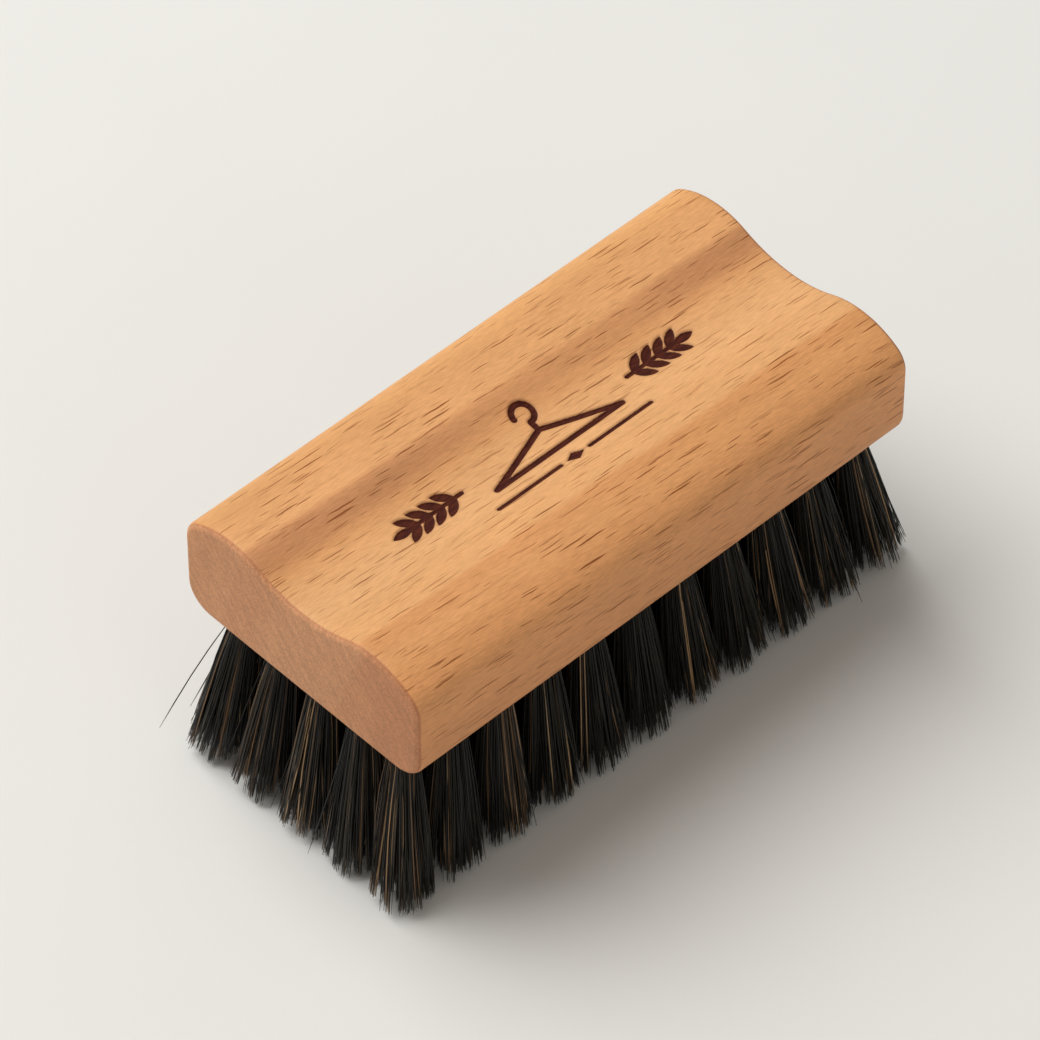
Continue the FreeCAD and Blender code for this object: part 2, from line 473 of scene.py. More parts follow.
@dataclass(frozen=True)
class BeechFinish:
    """Oiled beech: grain bands along the block, short dark flecks, end grain and a burnt mark."""

    grain_turn: float = math.radians(2.5)    # the grain runs slightly off the block's length
    band_turn: float = math.radians(1.2)     # and so do the bands of colour
    band_lean: float = 0.35                  # how far the bands lean over, seen on the end grain
    band_wander: float = 3.5 * MM
    wander_scale: Triple = (22.0, 90.0, 90.0)
    band_reach_mm: float = 44.0              # half the girth that the band colours cover
    bands_mm: tuple[tuple[float, Colour], ...] = (
        (-42.0, (0.68, 0.31, 0.13)), (-34.0, (0.73, 0.33, 0.133)), (-29.0, (0.77, 0.35, 0.138)),
        (-25.0, (0.74, 0.34, 0.133)), (-21.0, (0.74, 0.352, 0.138)), (-18.0, (0.68, 0.312, 0.117)),
        (-15.6, (0.66, 0.30, 0.112)), (-14.4, (0.75, 0.388, 0.16)), (-9.0, (0.72, 0.378, 0.16)),
        (-3.0, (0.765, 0.41, 0.178)), (4.0, (0.765, 0.39, 0.163)), (7.0, (0.73, 0.35, 0.14)),
        (12.4, (0.74, 0.352, 0.145)), (13.4, (0.82, 0.415, 0.173)), (16.5, (0.75, 0.372, 0.15)),
        (20.5, (0.67, 0.33, 0.13)), (26.0, (0.76, 0.382, 0.143)), (32.0, (0.76, 0.41, 0.168)),
    )
    rosy: Colour = (0.80, 0.765, 0.82)       # a redder streak, beside the middle of the top
    rosy_girth: float = 9.9 * MM
    rosy_width: Span = (1.0 * MM, 4.2 * MM, 1.0, 0.0)
    rosy_middle: float = 10.0 * MM
    rosy_length: Span = (8.0 * MM, 38.0 * MM, 0.3, 0.9)

    fine: Fibre = Fibre(1.8 * MM, 0.22 * MM)
    fine_shade: Span = (0.32, 0.68, 0.91, 1.07)
    coarse: Fibre = Fibre(90.0 * MM, 1.6 * MM)
    coarse_shade: Span = (0.25, 0.75, 0.97, 1.03)
    patches: Patches = Patches(14.0 * MM, 0.16)

    fleck: Colour = (0.25, 0.066, 0.009)
    fleck_share: float = 0.92                # how much of the fleck's colour shows
    fleck_sets: tuple[FleckSet, ...] = (
        FleckSet(24.0 * MM, 1.12 * MM, 0.165, 1.0, 3.37),
        FleckSet(18.0 * MM, 1.05 * MM, 0.14, 0.8, 11.91),
    )
    fleck_core: float = 0.62                 # share of a fleck's reach that is solid
    fleck_reach: Span = (0.0, 1.0, 0.4, 1.0)
    fleck_tone: Span = (0.0, 1.0, 0.55, 1.0)
    fleck_wave: float = 0.45 * MM
    wave_scale: Triple = (260.0, 500.0, 500.0)
    faint_scale: Triple = (85.0, 1900.0, 1900.0)
    faint: Span = (0.57, 0.72, 0.0, 0.24)
    pale_girth: float = -4.0 * MM            # where the pale wood of the valley lies
    pale: Span = (5.0 * MM, 11.0 * MM, 0.8, 1.0)

    end_reach: tuple[float, float] = (0.75 * MM, 0.45 * MM)    # short of the end, where end grain starts
    end_base: Colour = (0.72, 0.36, 0.153)   # the end grain's own colour, mixed with the bands
    end_share: float = 0.65
    end_tint: Colour = (0.90, 0.86, 1.02)
    pore_scale: Triple = (300.0, 2600.0, 2600.0)
    pores: Span = (0.3, 0.62, 0.86, 1.05)
    ray_turn: tuple[float, str] = (math.radians(38.0), "X")
    ray_scale: Triple = (100.0, 1500.0, 160.0)
    rays: Span = (0.3, 0.7, 0.91, 1.06)
    edge_tint: Colour = (0.84, 0.75, 0.72)   # along the sawn edge, where the oil soaked in
    edge_inset: float = 0.55 * MM
    edge_width: Span = (0.05 * MM, 0.3 * MM, 0.9, 0.0)
    near_tint: Colour = (0.90, 0.86, 0.86)   # darker towards the -Y side of the end faces
    near: Span = (-20.0 * MM, -11.0 * MM, 1.0, 0.0)

    burn: Colour = (0.048, 0.0035, 0.0005)
    char: Colour = (0.095, 0.0160, 0.0030)
    char_scale: Triple = (500.0, 2200.0, 2200.0)
    char_share: tuple[float, float] = (0.35, 0.75)
    toast: Colour = (0.2, 0.075, 0.03)       # the halo round the burnt mark
    halo: Span = (0.0, 0.6 * MM, 0.3, 0.0)
    ragged: float = 0.12 * MM
    ragged_scale: float = 2200.0

    roughness: float = 0.5
    fibre_roughness: float = 0.22
    fleck_roughness: float = 0.12
    end_roughness: float = 0.1
    burnt_roughness: float = 0.25
    specular: float = 0.22
    fleck_sink: float = 0.7
    bump_depth: float = 0.06 * MM
    bump_strength: float = 0.6
    underside_reach: float = 0.05 * MM

    def fleck_group(self) -> bpy.types.NodeTree:
        """Make scattered short strokes along the first of two coordinates.

        A flat cell pattern squeezed along it turns each cell's middle into a long ellipse,
        and each cell's own random values set how far its ellipse reaches and how dark it is.

        Returns:
            The group, whose result is 1 on a stroke and 0 off it.
        """
        graph, given, result = new_group("ray_flecks", ("Length", "Width", "Reach", "Seed"), "Mask")
        place = graph.squeezed(given["Vector"], given["Length"], given["Width"], 1.0)
        moved = graph.add("ShaderNodeVectorMath", {0: place, 1: given["Seed"]}, operation="ADD").outputs[0]
        cells = graph.add("ShaderNodeTexVoronoi", {"Vector": moved, "Scale": 1.0}, voronoi_dimensions="2D")
        chance, tone, _ = graph.add("ShaderNodeSeparateColor", {0: cells.outputs["Color"]}).outputs
        reach = graph.times(given["Reach"], graph.span(chance, *self.fleck_reach))
        inner = graph.times(reach, self.fleck_core)
        stroke = graph.span(cells.outputs["Distance"], inner, reach, 1.0, 0.0)
        graph.feed(result, graph.times(stroke, graph.span(tone, *self.fleck_tone)))
        return graph.tree

    def material(self, effects: Effects, block: "HandleBlock", mark_edge: float) -> bpy.types.Material:
        """Build the material.

        Args:
            effects: the shared groups.
            block: the block that it is for.
            mark_edge: width over which the burnt mark fades out at its outline.

        Returns:
            The beech material.
        """
        material, graph, shader = new_material("oiled_beech")
        on = self.read_place(graph, block)
        fine = effects.lines(graph, on.grain, self.fine)
        coarse = effects.lines(graph, on.grain, self.coarse)
        shade = graph.times(graph.span(fine, *self.fine_shade), graph.span(coarse, *self.coarse_shade),
                            effects.shade(graph, on.place, self.patches))
        flecks = self.fleck_mask(on)

        colour = graph.mix(graph.times(flecks, self.fleck_share), self.band_colour(on), self.fleck)
        colour = graph.shaded(self.end_grain(on, colour, block.half_length), shade)
        colour, burnt = self.burnt(on, colour, mark_edge)
        graph.feed(shader["Base Color"], colour)

        rough = graph.swayed(self.roughness, fine, self.fibre_roughness)
        rough = graph.maths("MULTIPLY_ADD", flecks, self.fleck_roughness, rough)
        rough = graph.maths("MULTIPLY_ADD", on.end, self.end_roughness, rough)
        rough = graph.maths("MULTIPLY_ADD", burnt, self.burnt_roughness, rough, clamp=True)
        graph.feed(shader["Roughness"], rough)
        shader["Specular IOR Level"].default_value = self.specular
        height = graph.maths("MULTIPLY_ADD", flecks, -self.fleck_sink, fine)
        graph.feed(shader["Normal"], graph.bump(height, self.bump_depth, self.bump_strength))
        return material

    def read_place(self, graph: Graph, block: "HandleBlock") -> OnBlock:
        """Read where a point is.

        The mesh carries the distance round the section, but the flat underside uses plain Y.
        The end mask starts halfway round the rounded edges of the end faces.

        Args:
            graph: the material's graph.
            block: the block that it is for.

        Returns:
            The sockets that say it.
        """
        place = graph.place()
        x, y, z = graph.parts(place)
        valley = (0.0, 0.0, block.underside + block.height - block.valley_depth)
        centred = graph.add("ShaderNodeVectorMath", {0: place, 1: valley}, operation="SUBTRACT").outputs[0]
        girth = graph.carried("girth")
        below = graph.maths("LESS_THAN", z, block.underside + self.underside_reach)
        around = graph.maths("ADD", girth, graph.times(below, graph.minus(y, girth)))
        low, high = (block.half_length - reach for reach in self.end_reach)
        end = graph.span(graph.apart(x, 0.0), low, high)
        return OnBlock(graph, place, centred, graph.turned(centred, self.grain_turn), around, end)

    def band_colour(self, on: OnBlock) -> Socket:
        """Lay broad bands of colour round the girth, waved slowly along the grain.

        On the end grain they are read from Y plus a share of the height, so they lean.

        Args:
            on: where the point is.

        Returns:
            The wood's colour without its flecks and fibres.
        """
        graph = on.graph
        x, y, z = graph.parts(on.centred)
        places = {0: on.end, 2: on.around, 3: graph.maths("MULTIPLY_ADD", z, self.band_lean, y)}
        across = graph.add("ShaderNodeMix", places, data_type="FLOAT").outputs[0]
        across = graph.maths("MULTIPLY_ADD", x, math.tan(self.band_turn), across)
        across = graph.swayed(across, graph.streaks(on.centred, self.wander_scale, 3.0), self.band_wander)
        reach = self.band_reach_mm
        stops = [(0.5 + 0.5 * place / reach, colour) for place, colour in self.bands_mm]
        colour = graph.ramp(graph.maths("MULTIPLY_ADD", across, 0.5 / (reach * MM), 0.5), stops)
        strength = graph.times(graph.span(graph.apart(across, self.rosy_girth), *self.rosy_width),
                               graph.span(graph.apart(x, self.rosy_middle), *self.rosy_length),
                               graph.minus(1.0, on.end))
        return graph.tinted(strength, colour, self.rosy)

    def fleck_mask(self, on: OnBlock) -> Socket:
        """Scatter the sets of flecks over the unrolled skin, with faint lines between them.

        They are weaker in the pale wood of the valley and absent on the end grain.

        Args:
            on: where the point is.

        Returns:
            A mask, 1 in the middle of the darkest fleck.
        """
        graph = on.graph
        waved = graph.swayed(on.around, graph.streaks(on.place, self.wave_scale), self.fleck_wave)
        flat = graph.add("ShaderNodeCombineXYZ", {0: graph.parts(on.place)[0], 1: waved}).outputs[0]
        flat = graph.turned(flat, self.grain_turn)
        group = self.fleck_group()
        strokes = graph.span(graph.streaks(on.grain, self.faint_scale), *self.faint)
        for kind in self.fleck_sets:
            mask = graph.group(group, Vector=flat, Length=kind.length, Width=kind.width,
                               Reach=kind.reach, Seed=kind.seed)
            strokes = graph.maths("MAXIMUM", strokes, graph.times(mask, kind.strength))
        strength = graph.span(graph.apart(on.around, self.pale_girth), *self.pale)
        return graph.times(strokes, strength, graph.minus(1.0, on.end))

    def end_grain(self, on: OnBlock, colour: Socket, half_length: float) -> Socket:
        """Lay the end grain: greyer, with fine pores and rays down the face, and a dark sawn edge.

        Args:
            on: where the point is.
            colour: the wood's colour so far.
            half_length: half the block's length.

        Returns:
            The colour with the end grain in it.
        """
        graph = on.graph
        x, y, _ = graph.parts(on.place)
        leaning = graph.turned(on.place, *self.ray_turn)
        speck = graph.times(graph.span(graph.streaks(on.place, self.pore_scale), *self.pores),
                            graph.span(graph.streaks(leaning, self.ray_scale), *self.rays))
        cut = graph.mix(1.0, graph.mix(self.end_share, colour, self.end_base), self.end_tint, "MULTIPLY")
        cut = graph.tinted(graph.span(y, *self.near), cut, self.near_tint)
        colour = graph.mix(on.end, colour, graph.shaded(cut, speck))
        off_edge = graph.apart(graph.apart(x, 0.0), half_length - self.edge_inset)
        return graph.tinted(graph.span(off_edge, *self.edge_width), colour, self.edge_tint)

    def burnt(self, on: OnBlock, colour: Socket, edge: float) -> tuple[Socket, Socket]:
        """Scorch the mark, by the distance to its outline that the mesh carries.

        Args:
            on: where the point is.
            colour: the wood's colour so far.
            edge: width over which the mark fades out at its outline.

        Returns:
            The colour with the mark in it, and a mask that is 1 on the mark.
        """
        graph = on.graph
        ragged = graph.noise(on.place, self.ragged_scale)
        distance = graph.swayed(graph.carried("mark_distance"), ragged, self.ragged)
        mask = graph.span(distance, -edge, edge, 1.0, 0.0)
        char = graph.span(graph.streaks(on.place, self.char_scale), *self.char_share)
        toasted = graph.mix(graph.span(distance, *self.halo), colour, self.toast)
        return graph.mix(mask, toasted, graph.mix(char, self.burn, self.char)), mask


@dataclass(frozen=True)
class HorsehairFinish:
    """Natural hair, from black to tan by each hair's own tone."""

    tones: tuple[tuple[float, Colour], ...] = (
        (0.0, (0.0070, 0.0066, 0.0047)), (0.55, (0.0225, 0.0205, 0.0145)), (0.7, (0.062, 0.036, 0.02)),
        (0.85, (0.26, 0.148, 0.072)), (1.0, (0.55, 0.36, 0.19)),
    )
    patch_scale: Triple = (1.0, 1.0, 0.3)
    patches: Patches = Patches(2.2 * MM, 0.9)
    roughness: float = 0.42
    specular: float = 0.35
    cuticle_scale: Triple = (9000.0, 9000.0, 2500.0)
    bump_depth: float = 0.01 * MM
    bump_strength: float = 0.5

    def material(self, effects: Effects) -> bpy.types.Material:
        """Build the material.

        Args:
            effects: the shared groups.

        Returns:
            The hair material.
        """
        material, graph, shader = new_material("natural_horsehair")
        place = graph.place()
        patches = effects.shade(graph, graph.scaled(place, self.patch_scale), self.patches)
        colour = graph.ramp(graph.carried("hair_tone"), self.tones)
        graph.feed(shader["Base Color"], graph.shaded(colour, patches))
        graph.feed(shader["Roughness"], graph.times(self.roughness, patches))
        shader["Specular IOR Level"].default_value = self.specular
        cuticle = graph.streaks(place, self.cuticle_scale, 1.0)
        graph.feed(shader["Normal"], graph.bump(cuticle, self.bump_depth, self.bump_strength))
        return material


@dataclass(frozen=True)
class WireFinish:
    """Flat drawn steel wire with drawing lines along it and a little dulling."""

    steel: Colour = (0.55, 0.54, 0.52)
    dulled: Colour = (0.33, 0.31, 0.29)
    dulling: tuple[float, float] = (0.35, 0.7)
    drawing: Fibre = Fibre(4.0 * MM, 0.08 * MM)
    patches: Patches = Patches(1.5 * MM, 0.5)
    roughness: float = 0.3
    dulled_roughness: float = 0.2
    bump_depth: float = 0.01 * MM
    bump_strength: float = 0.4

    def material(self, effects: Effects) -> bpy.types.Material:
        """Build the material.

        Args:
            effects: the shared groups.

        Returns:
            The wire material.
        """
        material, graph, shader = new_material("flat_anchor_wire")
        place = graph.place()
        along = graph.turned(place, math.pi / 2)
        lines = effects.lines(graph, along, self.drawing)
        dull = graph.span(lines, *self.dulling)
        patches = effects.shade(graph, place, self.patches)
        graph.feed(shader["Base Color"], graph.shaded(graph.mix(dull, self.steel, self.dulled), patches))
        rough = graph.maths("MULTIPLY_ADD", dull, self.dulled_roughness, self.roughness)
        graph.feed(shader["Roughness"], rough)
        shader["Metallic"].default_value = 1.0
        graph.feed(shader["Normal"], graph.bump(lines, self.bump_depth, self.bump_strength))
        return material


# ---------------------------------------------------------------- the engraved mark


@dataclass(frozen=True)
class EngravedMark:
    """A coat hanger between two sprigs over a ruled line, as distances to its strokes."""

    depth: float = 0.35 * MM
    stroke: float = 1.1 * MM
    half_span: float = 14.0 * MM
    bar_y: float = -2.4 * MM
    neck_y: float = 2.6 * MM
    hook_radius: float = 1.9 * MM
    sprig_start: float = 18.5 * MM
    sprig_length: float = 15.0 * MM
    sprig_y: float = 1.2 * MM
    leaf_pairs: int = 4
    leaf_length: float = 4.4 * MM
    leaf_width: float = 1.7 * MM
    leaf_angle: float = math.radians(38.0)
    rule_y: float = -6.0 * MM
    rule_start: float = 3.2 * MM
    rule_end: float = 17.0 * MM
    rule_width: float = 0.8 * MM
    diamond_half_length: float = 1.9 * MM
    diamond_half_width: float = 1.1 * MM
    wall: float = 0.16 * MM
    edge: float = 0.06 * MM    # width over which the scorched colour fades out

    @staticmethod
    def to_bar(x: np.ndarray, y: np.ndarray, start: Sequence[float], end: Sequence[float],
               width: float) -> np.ndarray:
        """Distance to a round-ended bar: to its nearest centre-line point, less half its width.

        Args:
            x: places along the block.
            y: places across it.
            start: one end of the centre line.
            end: its other end.
            width: the bar's width.

        Returns:
            The signed distance at each place.
        """
        dx, dy = end[0] - start[0], end[1] - start[1]
        t = np.clip(((x - start[0]) * dx + (y - start[1]) * dy) / (dx * dx + dy * dy), 0.0, 1.0)
        return np.hypot(x - start[0] - t * dx, y - start[1] - t * dy) - width / 2

    def to_hook(self, x: np.ndarray, y: np.ndarray) -> np.ndarray:
        """Distance to the hook: three quarters of a ring, open at the lower left, with a round tip.

        Args:
            x: places along the block.
            y: places across it.

        Returns:
            The signed distance at each place.
        """
        v = y - (self.neck_y + 2 * self.hook_radius)
        ring = np.abs(np.hypot(x, v) - self.hook_radius)
        tip = np.hypot(x + self.hook_radius, v)
        foot = np.hypot(x, v + self.hook_radius)
        open_part = (x < 0) & (v < 0)
        return np.where(open_part, np.minimum(tip, foot), ring) - self.stroke / 2

    def to_leaf(self, x: np.ndarray, y: np.ndarray, root: float, angle: float) -> np.ndarray:
        """Distance to a leaf, where two equal circles overlap: the larger of the two distances.

        Args:
            x: places along the block, from the middle outwards.
            y: places across it.
            root: where the leaf leaves the stem.
            angle: how far it leans off the stem.

        Returns:
            The signed distance at each place.
        """
        half = self.leaf_length / 2
        radius = (half ** 2 + (self.leaf_width / 2) ** 2) / self.leaf_width
        offset = radius - self.leaf_width / 2
        dx, dy = x - root, y - self.sprig_y
        u = dx * math.cos(angle) + dy * math.sin(angle) - half
        v = dy * math.cos(angle) - dx * math.sin(angle)
        return np.maximum(np.hypot(u, v - offset), np.hypot(u, v + offset)) - radius

    def to_sprigs(self, x: np.ndarray, y: np.ndarray) -> np.ndarray:
        """Distance to the nearer sprig: both are the same on either side of the middle.

        Args:
            x: places along the block.
            y: places across it.

        Returns:
            The signed distance at each place.
        """
        out = np.abs(x)
        end = self.sprig_start + self.sprig_length - self.leaf_length
        spacing = (self.sprig_length - self.leaf_length) / self.leaf_pairs
        stem = self.to_bar(out, y, (self.sprig_start, self.sprig_y), (end, self.sprig_y), self.rule_width)
        leaves = [self.to_leaf(out, y, end, 0.0)]
        for index in range(self.leaf_pairs):
            root = self.sprig_start + spacing * (index + 0.5)
            leaves += [self.to_leaf(out, y, root, turn) for turn in (self.leaf_angle, -self.leaf_angle)]
        return np.minimum.reduce([stem, *leaves])

    def to_rule(self, x: np.ndarray, y: np.ndarray) -> np.ndarray:
        """Distance to the ruled line and its diamond.

        Args:
            x: places along the block.
            y: places across it.

        Returns:
            The signed distance at each place.
        """
        out = np.abs(x)
        line = self.to_bar(out, y, (self.rule_start, self.rule_y), (self.rule_end, self.rule_y),
                           self.rule_width)
        a, b = self.diamond_half_length, self.diamond_half_width
        diamond = (out * b + np.abs(y - self.rule_y) * a - a * b) / math.hypot(a, b)
        return np.minimum(line, diamond)

    def distance(self, x: np.ndarray, y: np.ndarray) -> np.ndarray:
        """Distance in plan to the nearest stroke.

        Args:
            x: places along the block.
            y: places across it.

        Returns:
            The signed distance at each place, negative inside a stroke.
        """
        neck, hook_foot = (0.0, self.neck_y), (0.0, self.neck_y + self.hook_radius)
        left, right = (-self.half_span, self.bar_y), (self.half_span, self.bar_y)
        bars = [(neck, left), (neck, right), (left, right), (neck, hook_foot)]
        parts = [self.to_bar(x, y, start, end, self.stroke) for start, end in bars]
        parts += [self.to_hook(x, y), self.to_sprigs(x, y), self.to_rule(x, y)]
        return np.minimum.reduce(parts)

    def relief(self, distance: np.ndarray) -> np.ndarray:
        """How deep the wood is cut at a distance from the outline."""
        return self.depth * (1.0 - smoothstep(-self.wall, self.wall, distance))


# ---------------------------------------------------------------- the block


@dataclass
class HandleBlock:
    """The one-piece beech block: two finger ridges, a valley with the mark, and the tuft holes."""

    valley_depth: float = 3.5 * MM
    crest_inset: float = 11.0 * MM
    crest_radius: float = 16.0 * MM
    crest_points: int = 18
    top_corner: float = 5.0 * MM
    top_points: int = 8
    side_points: int = 6
    bottom_corner: float = 5.5 * MM
    bottom_points: int = 11
    end_edge: float = 1.2 * MM
    end_points: int = 7
    hole_radius: float = 2.25 * MM
    hole_depth: float = 12.0 * MM
    hole_sides: int = 32
    hole_levels: int = 4
    drill_point: float = math.radians(118.0)
    drilled_share: float = 0.9    # share of the underside's flat width that makes way for the holes
    level_within: float = 0.01 * MM
    cleared_share: float = 0.98   # share of a hole's radius that is kept clear of triangles
    mark_margin: float = 1.0 * MM
    fine_step: float = 0.2 * MM
    coarse_step: float = 1.2 * MM
    weld_reach: float = 0.001 * MM
    sharp_angle: float = math.radians(62.0)
    unmarked: float = 1.0         # distance to the mark that is carried where there is none
    mark: EngravedMark = field(default_factory=EngravedMark)
    half_length: float = field(init=False)
    half_width: float = field(init=False)
    underside: float = field(init=False)
    height: float = field(init=False)

    def __post_init__(self) -> None:
        """Read the block's place and outer size from the frame."""
        low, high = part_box("handle_block")
        self.half_length = (high.x - low.x) / 2
        self.half_width = (high.y - low.y) / 2
        self.underside = low.z
        self.height = high.z - low.z

    @property
    def flat_half_width(self) -> float:
        """Half the width of the flat underside."""
        return self.half_width - self.bottom_corner

    @property
    def straight_half_length(self) -> float:
        """Half the length over which the section isn't inset."""
        return self.half_length - self.end_edge

    def arc(self, centre: tuple[float, float], radius: float, first: float, last: float, count: int,
            hollow: bool = False) -> np.ndarray:
        """Points of an arc with their outward normals.

        Args:
            centre: (y, z) of the arc's centre.
            radius: its radius.
            first: start angle from +Z towards +Y.
            last: end angle.
            count: how many points.
            hollow: whether the wood lies outside the arc, so that normals point to its centre.

        Returns:
            (count, 4) rows of y, z, normal y, normal z.
        """
        angle = np.linspace(first, last, count)
        ray = np.column_stack([np.sin(angle), np.cos(angle)])
        return np.hstack([np.asarray(centre) + radius * ray, -ray if hollow else ray])

    def half_outline(self) -> np.ndarray:
        """The +Y half of the section, from the bottom of the valley round to the underside.

        The valley and the ridge are arcs with a shared tangent.  With the ridge's top a
        depth d above the valley and a distance c to its side, they meet at the angle
        2 atan(d / c), and their radii add up to c over that angle's sine.

        Returns:
            (n, 4) rows of y, z, normal y, normal z.
        """
        top = self.underside + self.height
        crest_y = self.half_width - self.crest_inset
        meet = 2 * math.atan(self.valley_depth / crest_y)
        valley_radius = crest_y / math.sin(meet) - self.crest_radius
        valley_centre = (0.0, top - self.valley_depth + valley_radius)
        crest_centre = (crest_y, top - self.crest_radius)
        corner_y = self.half_width - self.top_corner
        reach = self.crest_radius - self.top_corner
        rise = math.sqrt(reach ** 2 - (corner_y - crest_y) ** 2)
        turn = math.atan2(corner_y - crest_y, rise)
        corner_centre = (corner_y, crest_centre[1] + rise)
        bottom_centre = (self.flat_half_width, self.underside + self.bottom_corner)
        quarter = math.pi / 2
        fine = round(valley_radius * meet / self.fine_step)
        side = np.linspace(corner_centre[1], bottom_centre[1], self.side_points)[1:-1]
        sides = np.column_stack([np.full_like(side, self.half_width), side, np.ones_like(side), 0 * side])
        return np.vstack([
            self.arc(valley_centre, valley_radius, math.pi, math.pi - meet, fine, hollow=True)[:-1],
            self.arc(crest_centre, self.crest_radius, -meet, turn, self.crest_points)[:-1],
            self.arc(corner_centre, self.top_corner, turn, quarter, self.top_points),
            sides,
            self.arc(bottom_centre, self.bottom_corner, quarter, 2 * quarter, self.bottom_points),
        ])

    def outline(self) -> np.ndarray:
        """The whole section, clockwise seen from +X, starting at the valley.

        Returns:
            (n, 4) rows of y, z, normal y, normal z.
        """
        right = self.half_outline()
        left = right[:0:-1] * np.array([-1.0, 1.0, -1.0, 1.0])
        return np.vstack([right, left])

    def stations(self) -> np.ndarray:
        """Places along X with the inset of the section there, rounding the end edges.

        Round an edge of radius r, at an angle a, the place is r (1 - sin a) short of the
        end and the section is inset by r (1 - cos a).

        Returns:
            (n, 2) rows of place and inset.
        """
        mark_reach = self.mark.sprig_start + self.mark.sprig_length + self.mark_margin
        straight = self.straight_half_length
        fine = np.linspace(0.0, mark_reach, round(mark_reach / self.fine_step) + 1)
        coarse = np.linspace(mark_reach, straight, round((straight - mark_reach) / self.coarse_step) + 1)
        angle = np.linspace(0.0, math.pi / 2, self.end_points)[1:]
        place = np.concatenate([fine, coarse[1:], straight + self.end_edge * np.sin(angle)])
        inset = np.concatenate([np.zeros(len(fine) + len(coarse) - 1), self.end_edge * (1 - np.cos(angle))])
        half = np.column_stack([place, inset])
        return np.vstack([half[:0:-1] * np.array([-1.0, 1.0]), half])

    def girth(self) -> np.ndarray:
        """How far each outline point is from the valley, measured along the section.

        Returns:
            (n,) distances, negative on the -Y side.
        """
        right = self.half_outline()[:, :2]
        steps = np.hypot(*np.diff(right, axis=0).T)
        half = np.concatenate([[0.0], np.cumsum(steps)])
        return np.concatenate([half, -half[:0:-1]])

    def skin(self) -> tuple[np.ndarray, np.ndarray, np.ndarray, np.ndarray]:
        """The swept outer surface without the part of the underside that is drilled.

        Returns:
            Its points, its quads, each point's distance to the mark and its girth.
        """
        outline, stations = self.outline(), self.stations()
        inset = stations[:, 1][:, None]
        y = outline[:, 0][None, :] - inset * outline[:, 2][None, :]
        z = outline[:, 1][None, :] - inset * outline[:, 3][None, :]
        x = np.broadcast_to(stations[:, 0][:, None], y.shape)
        on_top = z > self.underside + self.height / 2
        distance = np.where(on_top, self.mark.distance(x, y), self.unmarked)
        z = z - self.mark.relief(distance)
        points = np.stack([x, y, z], -1).reshape(-1, 3)
        quads = grid_faces(len(stations), len(outline), closed=True)[:, ::-1]
        middle = points[quads].mean(axis=1)
        drilled = middle[:, 2] < self.underside + self.level_within
        drilled &= np.abs(middle[:, 1]) < self.flat_half_width * self.drilled_share
        drilled &= np.abs(middle[:, 0]) < self.straight_half_length
        return points, quads[~drilled], distance.reshape(-1), np.tile(self.girth(), len(stations))

    def drilled_face(self, centres: np.ndarray, ring: np.ndarray) -> tuple[np.ndarray, np.ndarray]:
        """The flat underside with a round opening at each hole.

        Args:
            centres: (n, 2) hole centres.
            ring: (m, 2) points of a circle about the origin.

        Returns:
            Its points and triangles, facing down.
        """
        flat = self.flat_half_width
        place = self.stations()
        place = place[place[:, 1] == 0.0][:, 0]
        near = np.column_stack([place, np.full_like(place, -flat)])
        far = np.column_stack([place[::-1], np.full_like(place, flat)])
        border = np.vstack([near, far])
        circles = (centres[:, None, :] + ring[None, :, :]).reshape(-1, 2)
        flat_points = np.vstack([border, circles])
        loops = [np.arange(len(border))]
        loops += [len(border) + len(ring) * i + np.arange(len(ring)) for i in range(len(centres))]
        edges = np.vstack([np.column_stack([loop, np.roll(loop, -1)]) for loop in loops])
        found = delaunay_2d_cdt([Vector(p) for p in flat_points.tolist()], edges.tolist(), [],
                                CDT_INSIDE, CDT_CLOSE)
        points = np.array([tuple(p) for p in found[0]])
        triangles = np.array(found[2])
        gap = gaps(points[triangles].mean(axis=1), centres).min(axis=1)
        triangles = triangles[gap > self.hole_radius * self.cleared_share]
        raised = np.column_stack([points, np.full(len(points), self.underside)])
        a, b, c = (points[triangles[:, i]] for i in range(3))
        turn = (b[:, 0] - a[:, 0]) * (c[:, 1] - a[:, 1]) - (b[:, 1] - a[:, 1]) * (c[:, 0] - a[:, 0])
        triangles[turn > 0] = triangles[turn > 0][:, ::-1]
        return raised, triangles

    def hole(self, centre: np.ndarray, ring: np.ndarray) -> tuple[np.ndarray, list[list[int]]]:
        """The wall of one blind hole with its drill point.

        Args:
            centre: (x, y) of the hole.
            ring: (m, 2) points of a circle about the origin.

        Returns:
            Its points and faces, facing the hole's axis.
        """
        count = len(ring)
        levels = self.underside + self.hole_depth * np.linspace(0.0, 1.0, self.hole_levels)
        wall = np.vstack([np.column_stack([ring + centre, np.full(count, z)]) for z in levels])
        apex = levels[-1] + self.hole_radius / math.tan(self.drill_point / 2)
        points = np.vstack([wall, [[centre[0], centre[1], apex]]])
        quads = grid_faces(len(levels), count, closed=True)[:, ::-1].tolist()
        last = (len(levels) - 1) * count
        cone = [[last + (i + 1) % count, last + i, len(wall)] for i in range(count)]
        return points, quads + cone

